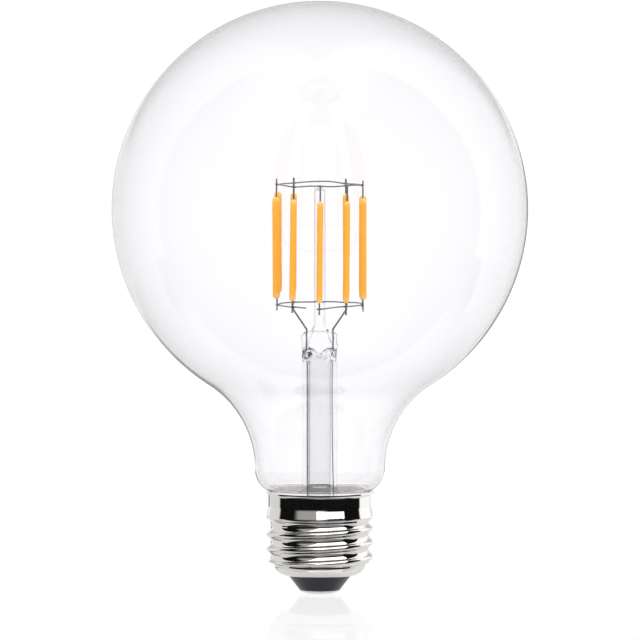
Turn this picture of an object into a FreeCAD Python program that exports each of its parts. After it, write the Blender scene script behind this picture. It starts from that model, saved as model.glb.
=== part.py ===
import FreeCAD, Part
import math
import os

# Clear globe lamp with a cage of LED filaments and an E26 screw cap.
# Millimetres, +Z up, front at -Y, origin at the lowest point of the centre contact.

# Centre contact and insulator
CONTACT_DIAMETER = 10.0
CONTACT_FLAT_DIAMETER = 3.6
CONTACT_DOME = 0.6
CONTACT_RIM = 0.3
EYELET_DIAMETER = 2.6
EYELET_HEIGHT = 1.2
INSULATOR_HEIGHT = 3.65
INSULATOR_FOOT_DIAMETER = 10.4
INSULATOR_TOP_DIAMETER = 15.6
INSULATOR_COLLAR_HEIGHT = 0.9

# Screw shell, rolled from sheet
SHELL_WALL = 0.3
CUP_INSET = 0.7
CUP_HEIGHT = 2.35
CUP_RADIUS = 5.1
THREAD_DIAMETER = 26.2
THREAD_PITCH = 3.629
THREAD_ROUNDING = 1.025
THREAD_LENGTH = 10.5
THREAD_CREST_RISE = 2.3
THREAD_STRIPS = 8
THREAD_RUN_IN = 1.6
THREAD_RUN_OUT = 1.2
SKIRT_INSET = 0.4
SKIRT_LENGTH = 7.6
SKIRT_SLOPE = 14.0
LIP_FLARE = 0.62
LIP_RADIUS = 0.66

# Glass envelope
GLASS_WALL = 0.8
GLOBE_DIAMETER = 103.0
GLOBE_RISE = 64.5
NECK_DIAMETER = 32.2
SHOULDER_RADIUS = 6.0
SLEEVE_LENGTH = 4.7
CEMENT_THICKNESS = 0.55
RIM_GAP = 0.2

# Glass mount: flared stem with its press, exhaust tube and support post
STEM_DIAMETER = 8.8
STEM_WALL = 0.7
STEM_HEIGHT = 44.5
STEM_SHOULDER = 1.5
FLARE_RADIUS = 5.0
PRESS_THICKNESS = 3.8
PRESS_HEIGHT = 3.6
PRESS_TAPER = 2.4
PRESS_ROUNDING = 1.2
EXHAUST_DIAMETER = 5.4
EXHAUST_WALL = 0.9
EXHAUST_TAIL = 6.0
POST_DIAMETER = 2.8
POST_LENGTH = 35.8
POST_FOOT_DIAMETER = 5.2
POST_FOOT_HEIGHT = 2.2

# Filament cage
CAGE_DIAMETER = 22.4
FILAMENT_PLACES = 10
FILAMENT_WIDTH = 1.48
FILAMENT_DEPTH = 1.84
FILAMENT_LENGTH = 25.1
FILAMENT_TIP_LENGTH = 0.8
FILAMENT_TIP_WIDTH = 0.72
TAB_WIDTH = 0.4
TAB_THICKNESS = 0.24
UPPER_TAB_REACH = 3.0
UPPER_TAB_STUB = 0.7
LOWER_TAB_REACH = 1.6
LOWER_TAB_STUB = 1.3
RING_WIRE_DIAMETER = 0.36
RING_ABOVE_POST = 0.6
RIGHT_RING_FRONT_TAIL = 0.8
LEFT_RING_FRONT_TAIL = 3.4
RING_REAR_TAIL = 5.4
ANCHOR_PLACES = (0.0, 4.6, 5.4)
ANCHOR_WIRE_DIAMETER = 0.36
ANCHOR_DEPTH = 1.0
ANCHOR_INSET = 0.6
LEAD_WIRE_DIAMETER = 0.5
LEAD_SPACING = 6.5
LEAD_RISE = 0.6
LEAD_HOOK = 1.4
LEAD_BESIDE_TAB = 0.5
LEAD_BEND_RADIUS = 0.5

# Hand-made scatter of the filaments, by place from the front towards the right: rise in
# millimetres and lean in degrees. The place at the back, where the cage is closed, is empty.
FILAMENT_SCATTER = {
    0: (-0.6, -0.5),
    1: (-0.7, -0.7),
    2: (-0.2, 0.4),
    3: (0.2, 0.6),
    4: (0.4, -0.4),
    6: (0.7, 0.5),
    7: (0.7, -0.6),
    8: (0.1, 0.8),
    9: (-0.2, -0.9),
}
RIGHT_RING_PLACES = (0, 4)
LEFT_RING_PLACES = (6, 9)
RIGHT_LEAD_PLACE = 1
LEFT_LEAD_PLACE = 9

# Driver in the cap, with the places of its parts on the board
BOARD_SEAT_HEIGHT = 1.9
BOARD_THICKNESS = 1.0
CAPACITOR_DIAMETER = 6.3
CAPACITOR_HEIGHT = 8.0
CAPACITOR_ROUNDING = 0.6
CAPACITOR_SPACING = 0.4
RECTIFIER_SIZE = (4.7, 3.9, 2.4)
RECTIFIER_PLACE = (-5.2, -4.2)
CHIP_SIZE = (4.9, 3.9, 1.5)
CHIP_PLACE = (4.7, -4.4)
BODY_CHAMFER = 0.4
RESISTOR_DIAMETER = 2.4
RESISTOR_LENGTH = 5.6
RESISTOR_WIRE_DIAMETER = 0.6
RESISTOR_WIRE_REACH = 1.3
RESISTOR_SETBACK = 8.0
HOOKUP_WIRE_DIAMETER = 0.8
SHELL_WIRE_PLACE = 8.6
SHELL_WIRE_STEP = 2.4
SHELL_WIRE_REACH = 9.0
SHELL_WIRE_ANGLE = 150.0

# Clearances
FIT_CLEARANCE = 0.05
WELD_GAP = 0.02

ORIGIN = FreeCAD.Vector(0, 0, 0)
X_AXIS = FreeCAD.Vector(1, 0, 0)
Y_AXIS = FreeCAD.Vector(0, 1, 0)
Z_AXIS = FreeCAD.Vector(0, 0, 1)
FULL_TURN = 360.0
FRONT_ANGLE = -90.0
SEAM_ANGLE = 200.0
LEVEL_TOLERANCE = 0.0001


def point(radius, z):
    """Point of a profile, drawn in the XZ plane."""
    return FreeCAD.Vector(radius, 0, z)


# Heights and radii that follow from the sizes above
contact_radius = CONTACT_DIAMETER / 2
insulator_z = CONTACT_DOME + CONTACT_RIM
shell_z = insulator_z + INSULATOR_HEIGHT
cup_top_z = shell_z + CUP_HEIGHT

thread_radius = THREAD_DIAMETER / 2
quarter_pitch = THREAD_PITCH / 4
thread_half_depth = THREAD_ROUNDING - math.sqrt(THREAD_ROUNDING**2 - quarter_pitch**2)
root_radius = thread_radius - 2 * thread_half_depth
cup_top_radius = root_radius - CUP_INSET
thread_top_z = cup_top_z + THREAD_LENGTH
cap_top_z = thread_top_z + SKIRT_LENGTH
skirt_radius = thread_radius - SKIRT_INSET
lip_rise = math.sqrt(LIP_RADIUS**2 - (LIP_RADIUS - LIP_FLARE) ** 2)
skirt_inner_radius = skirt_radius - SHELL_WALL

globe_radius = GLOBE_DIAMETER / 2
neck_radius = NECK_DIAMETER / 2
sleeve_radius = skirt_inner_radius - CEMENT_THICKNESS
shoulder_reach = neck_radius - SHOULDER_RADIUS
shoulder_end_z = cap_top_z + RIM_GAP
neck_z = shoulder_end_z + math.sqrt(SHOULDER_RADIUS**2 - (sleeve_radius - shoulder_reach) ** 2)
globe_z = neck_z + GLOBE_RISE
sleeve_end_z = shoulder_end_z - SLEEVE_LENGTH

stem_radius = STEM_DIAMETER / 2
exhaust_radius = EXHAUST_DIAMETER / 2
post_radius = POST_DIAMETER / 2
press_top_z = sleeve_end_z + STEM_HEIGHT
taper_z = press_top_z - PRESS_HEIGHT - PRESS_TAPER
post_top_z = press_top_z + POST_LENGTH

cage_radius = CAGE_DIAMETER / 2
ring_wire_radius = RING_WIRE_DIAMETER / 2
ring_radius = cage_radius - TAB_THICKNESS / 2 - WELD_GAP - ring_wire_radius
upper_ring_z = post_top_z + RING_ABOVE_POST
filament_top_z = upper_ring_z - UPPER_TAB_REACH
filament_z = filament_top_z - FILAMENT_LENGTH
lower_ring_z = filament_z - LOWER_TAB_REACH

board_z = shell_z + BOARD_SEAT_HEIGHT
board_top_z = board_z + BOARD_THICKNESS


def lines(*corners):
    """Straight edges through the corners in turn."""
    return [Part.LineSegment(start, end).toShape() for start, end in zip(corners, corners[1:])]


def arc(start, end, centre):
    """Shorter arc from start to end about a centre."""
    middle = (start - centre) + (end - centre)
    middle.normalize()
    return Part.Arc(start, centre + middle * (start - centre).Length, end).toShape()


def turned(edges):
    """Solid made by turning a closed profile about the Z axis."""
    return Part.Face(Part.Wire(edges)).revolve(ORIGIN, Z_AXIS, FULL_TURN)


def tube(inner_radius, outer_radius, low_z, high_z):
    """Straight ring about the Z axis."""
    height = high_z - low_z
    outer = Part.makeCylinder(outer_radius, height, point(0, low_z))
    return outer.cut(Part.makeCylinder(inner_radius, height, point(0, low_z)))


def polar(radius, angle, z):
    """Point at an angle in degrees from the front towards the right."""
    turn = math.radians(FRONT_ANGLE + angle)
    return FreeCAD.Vector(radius * math.cos(turn), radius * math.sin(turn), z)


def place_angle(place):
    return place * FULL_TURN / FILAMENT_PLACES


def arc_angle(length, radius):
    """Angle in degrees that a length takes up along a circle."""
    return math.degrees(length / radius)


def bent_wire(points, diameter, bend_radius):
    """Round wire along straight runs joined by tangent bends."""
    edges = []
    start = points[0]
    for before, corner, after in zip(points, points[1:], points[2:]):
        toward = (corner - before).normalize()
        onward = (after - corner).normalize()
        turn = toward.getAngle(onward)
        setback = bend_radius * math.tan(turn / 2)
        enter = corner - toward * setback
        leave = corner + onward * setback
        inward = (onward - toward).normalize()
        centre = corner + inward * (bend_radius / math.cos(turn / 2))
        edges += lines(start, enter)
        edges.append(arc(enter, leave, centre))
        start = leave
    edges += lines(start, points[-1])
    section = Part.Wire([Part.makeCircle(diameter / 2, points[0], points[1] - points[0])])
    return Part.Wire(edges).makePipeShell([section], True, False)


# Centre contact and insulator


def centre_contact():
    """Domed plate with a flat tip and an eyelet that rises into the insulator."""
    flat = CONTACT_FLAT_DIAMETER / 2
    dome_radius = ((contact_radius - flat) ** 2 + CONTACT_DOME**2) / (2 * CONTACT_DOME)
    eyelet = EYELET_DIAMETER / 2
    eyelet_z = insulator_z + EYELET_HEIGHT
    tip_edge = point(flat, 0)
    rim = point(contact_radius, CONTACT_DOME)
    rim_top = point(contact_radius, insulator_z)
    eyelet_foot = point(eyelet, insulator_z)
    eyelet_edge = point(eyelet, eyelet_z)
    return turned(
        [arc(tip_edge, rim, point(flat, dome_radius))]
        + lines(rim, rim_top, eyelet_foot, eyelet_edge, point(0, eyelet_z), ORIGIN, tip_edge)
    )


def cap_insulator():
    """Cone between contact and shell, with a collar inside the shell's mouth."""
    bore = EYELET_DIAMETER / 2 + FIT_CLEARANCE
    collar = shell_mouth().x - FIT_CLEARANCE
    collar_z = shell_z + INSULATOR_COLLAR_HEIGHT
    bore_low = point(bore, insulator_z)
    return turned(lines(
        bore_low,
        point(INSULATOR_FOOT_DIAMETER / 2, insulator_z),
        point(INSULATOR_TOP_DIAMETER / 2, shell_z),
        point(collar, shell_z),
        point(collar, collar_z),
        point(bore, collar_z),
        bore_low,
    ))


# Screw shell


def cup_centre():
    """Centre of the rounded cup that joins the insulator to the thread."""
    mouth = point(INSULATOR_TOP_DIAMETER / 2, shell_z)
    top = point(cup_top_radius, cup_top_z)
    chord = top - mouth
    inward = point(-chord.z, chord.x).normalize()
    return (mouth + top) / 2 + inward * math.sqrt(CUP_RADIUS**2 - (chord.Length / 2) ** 2)


def cup_inner_radius(z):
    centre = cup_centre()
    return centre.x + math.sqrt((CUP_RADIUS - SHELL_WALL) ** 2 - (centre.z - z) ** 2)


def shell_mouth():
    """Inner corner of the shell's lower edge."""
    centre = cup_centre()
    outer = point(INSULATOR_TOP_DIAMETER / 2, shell_z)
    return centre + (outer - centre) * ((CUP_RADIUS - SHELL_WALL) / CUP_RADIUS)


def thread_wave(offset):
    """Radius of the rolled thread at a height above or below the middle of a crest."""
    if offset <= quarter_pitch:
        return thread_radius - THREAD_ROUNDING + math.sqrt(THREAD_ROUNDING**2 - offset**2)
    to_root = THREAD_PITCH / 2 - offset
    return root_radius + THREAD_ROUNDING - math.sqrt(THREAD_ROUNDING**2 - to_root**2)


def thread_rail(turn, step):
    """One turn of the right-hand helix that follows the wave at one step of the pitch."""
    rise = THREAD_PITCH * step / THREAD_STRIPS
    rail = Part.makeHelix(THREAD_PITCH, THREAD_PITCH, thread_wave(min(rise, THREAD_PITCH - rise)))
    rail.translate(point(0, cup_top_z + THREAD_CREST_RISE + turn * THREAD_PITCH + rise))
    return rail.Edges[0]


def lies_level(edge, z):
    """Whether an edge lies in the plane at a height."""
    box = edge.BoundBox
    return abs(box.ZMin - z) < LEVEL_TOLERANCE and abs(box.ZMax - z) < LEVEL_TOLERANCE


def threaded_core():
    """Solid rod with the helical thread, cut level at both ends of the thread."""
    first = math.floor(-THREAD_CREST_RISE / THREAD_PITCH) - 1
    last = math.ceil((THREAD_LENGTH - THREAD_CREST_RISE) / THREAD_PITCH)
    strips = []
    for turn in range(first, last + 1):
        for step in range(THREAD_STRIPS):
            low = thread_rail(turn, step)
            high = thread_rail(turn, step + 1)
            strips.append(Part.makeRuledSurface(low, high))
    skin = Part.makeShell(strips)
    skin.sewShape()
    corner = FreeCAD.Vector(-THREAD_DIAMETER, -THREAD_DIAMETER, cup_top_z)
    slab = Part.makeBox(2 * THREAD_DIAMETER, 2 * THREAD_DIAMETER, THREAD_LENGTH, corner)
    faces = skin.common(slab).Faces
    for level in (cup_top_z, thread_top_z):
        rim = [edge for face in faces for edge in face.Edges if lies_level(edge, level)]
        faces = faces + [Part.Face(Part.Wire(Part.__sortEdges__(rim)))]
    closed = Part.makeShell(faces)
    closed.sewShape()
    return Part.makeSolid(closed)


def screw_shell():
    """Sheet cap: rounded cup, rolled helical thread, skirt with a bead at its foot, flared lip."""
    centre = cup_centre()
    mouth = point(INSULATOR_TOP_DIAMETER / 2, shell_z)
    cup_top = point(cup_top_radius, cup_top_z)
    run_in = point(thread_radius + SHELL_WALL, cup_top_z + THREAD_RUN_IN)
    run_out = point(run_in.x, thread_top_z - THREAD_RUN_OUT)
    thread_top = point(root_radius, thread_top_z)
    flank = point(thread_radius - thread_half_depth, thread_top_z + quarter_pitch)
    bead_centre = point(thread_radius - THREAD_ROUNDING, flank.z + quarter_pitch)
    slope = math.radians(SKIRT_SLOPE)
    bead_top = bead_centre + point(math.cos(slope), math.sin(slope)) * THREAD_ROUNDING
    skirt_low = point(skirt_radius, bead_top.z + (bead_top.x - skirt_radius) / math.tan(slope))
    lip_low = point(skirt_radius, cap_top_z - lip_rise)
    lip_centre = lip_low + point(LIP_RADIUS, 0)
    lip_end = point(skirt_radius + LIP_FLARE, cap_top_z)

    bore = root_radius - SHELL_WALL
    ledge = point(cup_inner_radius(cup_top_z), cup_top_z)
    run_in_slope = THREAD_RUN_IN / (run_in.x - cup_top.x)
    bore_low = point(bore, cup_top_z + CUP_INSET * run_in_slope)
    bore_high = point(bore, flank.z)
    inner_skirt_low = point(skirt_inner_radius, bead_centre.z)
    inner_lip_low = point(skirt_inner_radius, lip_low.z)
    inner_lip_end = lip_centre + (lip_end - lip_centre) * ((LIP_RADIUS + SHELL_WALL) / LIP_RADIUS)
    top = point(0, inner_lip_end.z)

    cup = turned(
        lines(cup_top, point(0, cup_top_z), point(0, shell_z), mouth)
        + [arc(mouth, cup_top, centre)]
    )
    trim = turned(lines(
        point(0, cup_top_z),
        cup_top,
        run_in,
        run_out,
        thread_top,
        point(0, thread_top_z),
        point(0, cup_top_z),
    ))
    skirt = turned(
        lines(top, point(0, thread_top_z), thread_top)
        + [arc(thread_top, flank, thread_top + point(THREAD_ROUNDING, 0))]
        + [arc(flank, bead_top, bead_centre)]
        + lines(bead_top, skirt_low, lip_low)
        + [arc(lip_low, lip_end, lip_centre)]
        + lines(lip_end, inner_lip_end, top)
    )
    hollow = turned(
        lines(top, point(0, shell_z), mouth, shell_mouth())
        + [arc(shell_mouth(), ledge, centre)]
        + lines(ledge, bore_low, bore_high, inner_skirt_low, inner_lip_low)
        + [arc(inner_lip_low, inner_lip_end, lip_centre)]
        + lines(inner_lip_end, top)
    )
    for piece in (cup, trim, skirt, hollow):
        piece.rotate(ORIGIN, Z_AXIS, SEAM_ANGLE)
    return threaded_core().common(trim).fuse([cup, skirt]).cut(hollow).removeSplitter()


def basing_cement():
    """Ring of cement that fixes the glass sleeve in the skirt."""
    low = sleeve_radius + WELD_GAP
    high = skirt_inner_radius - WELD_GAP
    return tube(low, high, sleeve_end_z, cap_top_z)


# Glass envelope


def glass_envelope():
    """Blown globe, tangent neck and the sleeve that enters the cap, with an even wall."""
    blend = (neck_radius**2 + GLOBE_RISE**2 - globe_radius**2) / (2 * (globe_radius - neck_radius))
    globe_centre = point(0, globe_z)
    neck_centre = point(neck_radius + blend, neck_z)
    shoulder_centre = point(shoulder_reach, neck_z)
    tangent = (neck_centre - globe_centre).normalize()

    def wall(inset):
        sleeve = sleeve_radius - inset
        shoulder = SHOULDER_RADIUS - inset
        pole = point(0, globe_z + globe_radius - inset)
        joint = globe_centre + tangent * (globe_radius - inset)
        waist = point(neck_radius - inset, neck_z)
        foot_z = neck_z - math.sqrt(shoulder**2 - (sleeve - shoulder_reach) ** 2)
        foot = point(sleeve, foot_z)
        end = point(sleeve, sleeve_end_z)
        arcs = [
            arc(pole, joint, globe_centre),
            arc(joint, waist, neck_centre),
            arc(waist, foot, shoulder_centre),
        ]
        return arcs + lines(foot, end), pole, end

    outer, outer_pole, outer_end = wall(0)
    inner, inner_pole, inner_end = wall(GLASS_WALL)
    return turned(outer + lines(outer_end, inner_end) + inner[::-1] + lines(inner_pole, outer_pole))


# Glass mount


def press_flats():
    """What the press takes off the stem and the post's foot, in front and behind."""
    half = PRESS_THICKNESS / 2
    reach = STEM_DIAMETER
    high_z = press_top_z + POST_FOOT_HEIGHT
    corners = [
        FreeCAD.Vector(-reach, stem_radius, taper_z),
        FreeCAD.Vector(-reach, half, taper_z + PRESS_TAPER),
        FreeCAD.Vector(-reach, half, high_z),
        FreeCAD.Vector(-reach, reach, high_z),
        FreeCAD.Vector(-reach, reach, taper_z),
    ]
    back = Part.Face(Part.makePolygon(corners + corners[:1])).extrude(X_AXIS * (2 * reach))
    front = back.copy()
    front.rotate(ORIGIN, Z_AXIS, FULL_TURN / 2)
    return [back, front]


def stem_flare(leads):
    """Flared tube with a solid pressed top, sealed round the two leads."""
    bore = stem_radius - STEM_WALL
    bend = point(stem_radius + FLARE_RADIUS, sleeve_end_z + FLARE_RADIUS)
    under_z = sleeve_end_z - STEM_WALL
    tube_low = point(stem_radius, bend.z)
    bore_low = point(bore, bend.z)
    flare_top = point(bend.x, sleeve_end_z)
    flare_under = point(bend.x, under_z)
    seat = point(sleeve_radius, sleeve_end_z)
    seat_under = point(sleeve_radius, under_z)
    rounding = point(stem_radius - PRESS_ROUNDING, press_top_z - PRESS_ROUNDING)
    press_side = point(stem_radius, rounding.z)
    press_edge = point(rounding.x, press_top_z)
    bore_shoulder = point(bore, taper_z - STEM_SHOULDER)
    bore_top = point(exhaust_radius, taper_z)
    press_top = point(0, press_top_z)
    press_under = point(0, taper_z)
    stem = turned(
        [arc(flare_top, tube_low, bend)]
        + lines(tube_low, press_side)
        + [arc(press_side, press_edge, rounding)]
        + lines(press_edge, press_top, press_under, bore_top, bore_shoulder, bore_low)
        + [arc(bore_low, flare_under, bend)]
        + lines(flare_under, seat_under, seat, flare_top)
    )
    return stem.cut(press_flats()).cut(leads)


def exhaust_tube():
    """Tube through the stem, with its lower end melted shut."""
    bore = exhaust_radius - EXHAUST_WALL
    tip_z = sleeve_end_z - EXHAUST_TAIL
    tip_centre = point(0, tip_z + exhaust_radius)
    outer_low = point(exhaust_radius, tip_centre.z)
    inner_low = point(bore, tip_centre.z)
    tip = point(0, tip_z)
    inner_tip = point(0, tip_z + EXHAUST_WALL)
    return turned(
        [arc(tip, outer_low, tip_centre)]
        + lines(outer_low, point(exhaust_radius, taper_z), point(bore, taper_z), inner_low)
        + [arc(inner_low, inner_tip, tip_centre)]
        + lines(inner_tip, tip)
    )


def support_post(anchors):
    """Glass rod with a spread foot on the press and a fire-rounded top."""
    spread = POST_FOOT_DIAMETER / 2 - post_radius
    foot_z = press_top_z + POST_FOOT_HEIGHT
    sweep = (spread**2 + POST_FOOT_HEIGHT**2) / (2 * spread)
    foot_edge = point(POST_FOOT_DIAMETER / 2, press_top_z)
    foot_top = point(post_radius, foot_z)
    dome = point(0, post_top_z - post_radius)
    side_top = point(post_radius, dome.z)
    top = point(0, post_top_z)
    post = turned(
        [arc(foot_edge, foot_top, point(post_radius + sweep, foot_z))]
        + lines(foot_top, side_top)
        + [arc(side_top, top, dome)]
        + lines(top, point(0, press_top_z), foot_edge)
    )
    return post.cut(press_flats()).cut(anchors)


# Filament cage


def anchor_wire(angle):
    """Straight wire from the post's melted top to the inside of the upper ring."""
    start = polar(post_radius - ANCHOR_INSET, angle, post_top_z - ANCHOR_DEPTH)
    end = polar(ring_radius - ring_wire_radius - WELD_GAP, angle, upper_ring_z)
    return Part.makeCylinder(ANCHOR_WIRE_DIAMETER / 2, (end - start).Length, start, end - start)


def lower_ring(first_place, last_place, first_tail, last_tail):
    """Open arc of wire under the filaments of one half of the cage."""
    start = place_angle(first_place) - arc_angle(first_tail, ring_radius)
    end = place_angle(last_place) + arc_angle(last_tail, ring_radius)
    section = Part.makeCircle(ring_wire_radius, point(ring_radius, lower_ring_z), Y_AXIS)
    ring = Part.Face(Part.Wire([section])).revolve(ORIGIN, Z_AXIS, end - start)
    ring.rotate(ORIGIN, Z_AXIS, FRONT_ANGLE + start)
    return ring


def lead_wire(side, place):
    """Lead from the board through the press, hooked up against the inside of a lower ring."""
    reach = ring_radius - ring_wire_radius - WELD_GAP - LEAD_WIRE_DIAMETER / 2
    angle = place_angle(place) + side * arc_angle(LEAD_BESIDE_TAB, reach)
    offset = side * LEAD_SPACING / 2
    points = [
        point(offset, board_top_z),
        point(offset, press_top_z + LEAD_RISE),
        polar(reach, angle, lower_ring_z - LEAD_HOOK / 2),
        polar(reach, angle, lower_ring_z + LEAD_HOOK / 2),
    ]
    return bent_wire(points, LEAD_WIRE_DIAMETER, LEAD_BEND_RADIUS)


def filament_stick():
    """Oval stick with narrowed ends, standing on the origin with its depth along X."""
    radius = FILAMENT_WIDTH / 2
    tip = FILAMENT_TIP_WIDTH / 2
    narrowing = radius - tip
    sweep = (narrowing**2 + FILAMENT_TIP_LENGTH**2) / (2 * narrowing)
    low = FILAMENT_TIP_LENGTH
    high = FILAMENT_LENGTH - FILAMENT_TIP_LENGTH
    foot = point(tip, 0)
    side_low = point(radius, low)
    side_high = point(radius, high)
    top = point(tip, FILAMENT_LENGTH)
    round_stick = turned(
        [arc(foot, side_low, point(radius - sweep, low))]
        + lines(side_low, side_high)
        + [arc(side_high, top, point(radius - sweep, high))]
        + lines(top, point(0, FILAMENT_LENGTH), ORIGIN, foot)
    )
    stretch = FreeCAD.Matrix()
    stretch.A11 = FILAMENT_DEPTH / FILAMENT_WIDTH
    return round_stick.transformGeometry(stretch)


def end_tab(low_z, length):
    corner = FreeCAD.Vector(-TAB_THICKNESS / 2, -TAB_WIDTH / 2, low_z)
    return Part.makeBox(TAB_THICKNESS, TAB_WIDTH, length, corner)


def filament_set(place, rise, lean):
    """Stick, upper tab and lower tab, set in the cage at one place."""
    lower_length = LOWER_TAB_REACH + LOWER_TAB_STUB
    shapes = [
        filament_stick(),
        end_tab(FILAMENT_LENGTH, UPPER_TAB_REACH + UPPER_TAB_STUB),
        end_tab(-lower_length, lower_length),
    ]
    for shape in shapes:
        shape.rotate(point(0, FILAMENT_LENGTH / 2), X_AXIS, lean)
        shape.translate(point(cage_radius, filament_z + rise))
        shape.rotate(ORIGIN, Z_AXIS, FRONT_ANGLE + place_angle(place))
    return shapes


# Driver in the cap


def driver_board():
    """Round board that wedges into the cup of the shell."""
    radius = cup_inner_radius(board_z) - FIT_CLEARANCE
    return Part.makeCylinder(radius, BOARD_THICKNESS, point(0, board_z))


def smoothing_capacitor():
    """Standing can with rounded rims, behind the exhaust tube."""
    offset = exhaust_radius + CAPACITOR_SPACING + CAPACITOR_DIAMETER / 2
    foot = FreeCAD.Vector(0, offset, board_top_z)
    can = Part.makeCylinder(CAPACITOR_DIAMETER / 2, CAPACITOR_HEIGHT, foot)
    rims = [edge for edge in can.Edges if len(edge.Vertexes) == 1]
    return can.makeFillet(CAPACITOR_ROUNDING, rims)


def moulded_body(size, place):
    """Plastic package with chamfered upper edges."""
    length, width, height = size
    corner = FreeCAD.Vector(place[0] - length / 2, place[1] - width / 2, board_top_z)
    body = Part.makeBox(length, width, height, corner)
    top_z = board_top_z + height
    upper = [edge for edge in body.Edges if all(abs(v.Z - top_z) < WELD_GAP for v in edge.Vertexes)]
    return body.makeChamfer(BODY_CHAMFER, upper)


def fuse_resistor():
    """Lying resistor with its two wires bent down to the board."""
    axis_z = board_top_z + RESISTOR_DIAMETER / 2 + FIT_CLEARANCE
    half = RESISTOR_LENGTH / 2
    start = FreeCAD.Vector(-half, -RESISTOR_SETBACK, axis_z)
    body = Part.makeCylinder(RESISTOR_DIAMETER / 2, RESISTOR_LENGTH, start, X_AXIS)
    wire_half = half + RESISTOR_WIRE_REACH
    wire = bent_wire(
        [
            FreeCAD.Vector(-wire_half, -RESISTOR_SETBACK, board_top_z),
            FreeCAD.Vector(-wire_half, -RESISTOR_SETBACK, axis_z),
            FreeCAD.Vector(wire_half, -RESISTOR_SETBACK, axis_z),
            FreeCAD.Vector(wire_half, -RESISTOR_SETBACK, board_top_z),
        ],
        RESISTOR_WIRE_DIAMETER,
        RESISTOR_WIRE_DIAMETER,
    )
    return body.fuse(wire).removeSplitter()


def tip_wire():
    """Wire from the board down to the eyelet of the contact."""
    eyelet_z = insulator_z + EYELET_HEIGHT
    return Part.makeCylinder(HOOKUP_WIRE_DIAMETER / 2, board_z - eyelet_z, point(0, eyelet_z))


def shell_wire():
    """Wire from the board up the inside of the thread."""
    wall = root_radius - SHELL_WALL - FIT_CLEARANCE - HOOKUP_WIRE_DIAMETER / 2
    low_z = board_top_z + SHELL_WIRE_STEP
    points = [
        polar(SHELL_WIRE_PLACE, SHELL_WIRE_ANGLE, board_top_z),
        polar(SHELL_WIRE_PLACE, SHELL_WIRE_ANGLE, low_z),
        polar(wall, SHELL_WIRE_ANGLE, low_z + SHELL_WIRE_STEP),
        polar(wall, SHELL_WIRE_ANGLE, board_top_z + SHELL_WIRE_REACH),
    ]
    return bent_wire(points, HOOKUP_WIRE_DIAMETER, HOOKUP_WIRE_DIAMETER)


# All pieces by name

lead_left = lead_wire(-1, LEFT_LEAD_PLACE)
lead_right = lead_wire(1, RIGHT_LEAD_PLACE)
anchors = [anchor_wire(place_angle(place)) for place in ANCHOR_PLACES]

nodes = {
    "centre_contact": centre_contact(),
    "cap_insulator": cap_insulator(),
    "screw_shell": screw_shell(),
    "basing_cement": basing_cement(),
    "glass_envelope": glass_envelope(),
    "stem_flare": stem_flare([lead_left, lead_right]),
    "exhaust_tube": exhaust_tube(),
    "support_post": support_post(anchors),
    "lead_wire_left": lead_left,
    "lead_wire_right": lead_right,
    "upper_ring": Part.makeTorus(ring_radius, ring_wire_radius, point(0, upper_ring_z)),
    "lower_ring_right": lower_ring(*RIGHT_RING_PLACES, RIGHT_RING_FRONT_TAIL, RING_REAR_TAIL),
    "lower_ring_left": lower_ring(*LEFT_RING_PLACES, RING_REAR_TAIL, LEFT_RING_FRONT_TAIL),
    "driver_board": driver_board(),
    "smoothing_capacitor": smoothing_capacitor(),
    "bridge_rectifier": moulded_body(RECTIFIER_SIZE, RECTIFIER_PLACE),
    "driver_chip": moulded_body(CHIP_SIZE, CHIP_PLACE),
    "fuse_resistor": fuse_resistor(),
    "tip_wire": tip_wire(),
    "shell_wire": shell_wire(),
}
for number, anchor in enumerate(anchors, 1):
    nodes[f"anchor_wire_{number}"] = anchor
for number, (place, scatter) in enumerate(FILAMENT_SCATTER.items(), 1):
    stick, upper_tab, lower_tab = filament_set(place, *scatter)
    nodes[f"filament_{number}"] = stick
    nodes[f"upper_tab_{number}"] = upper_tab
    nodes[f"lower_tab_{number}"] = lower_tab

os.makedirs("parts", exist_ok=True)
for name, shape in nodes.items():
    shape.exportStep(f"parts/{name}.step")
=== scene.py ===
import math

import bmesh
import bpy
from mathutils import Matrix, Vector, noise


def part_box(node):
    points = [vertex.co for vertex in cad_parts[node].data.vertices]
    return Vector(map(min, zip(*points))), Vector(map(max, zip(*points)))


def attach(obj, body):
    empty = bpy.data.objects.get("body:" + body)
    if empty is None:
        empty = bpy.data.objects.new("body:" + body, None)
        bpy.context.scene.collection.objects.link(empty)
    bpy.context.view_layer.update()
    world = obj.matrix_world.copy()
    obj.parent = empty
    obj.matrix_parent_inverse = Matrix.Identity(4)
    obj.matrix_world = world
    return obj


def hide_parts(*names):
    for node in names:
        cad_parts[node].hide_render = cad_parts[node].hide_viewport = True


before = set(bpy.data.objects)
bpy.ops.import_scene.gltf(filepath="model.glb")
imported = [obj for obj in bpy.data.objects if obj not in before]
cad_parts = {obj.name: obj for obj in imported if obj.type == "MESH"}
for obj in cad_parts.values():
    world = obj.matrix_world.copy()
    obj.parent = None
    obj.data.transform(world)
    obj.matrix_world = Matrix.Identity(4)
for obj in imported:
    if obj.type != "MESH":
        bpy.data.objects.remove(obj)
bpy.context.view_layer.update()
scene = bpy.context.scene

# Pieces are drawn in millimetres, as the part's source is, and scaled once when they are done
MM = 0.001
Y_AXIS = Vector((0, 1, 0))
Z_AXIS = Vector((0, 0, 1))
FULL_TURN = 2 * math.pi
CIRCLE_DEGREES = 360.0
MERGE_DISTANCE = 0.0005
SHARP_ANGLE = math.radians(38)

# A set seed gives the same noise in each run
NOISE_SEED = 4
noise.seed_set(NOISE_SEED)


def node_span(node):
    """Lowest and highest corner of a CAD node in millimetres."""
    low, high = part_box(node)
    return low / MM, high / MM


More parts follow.
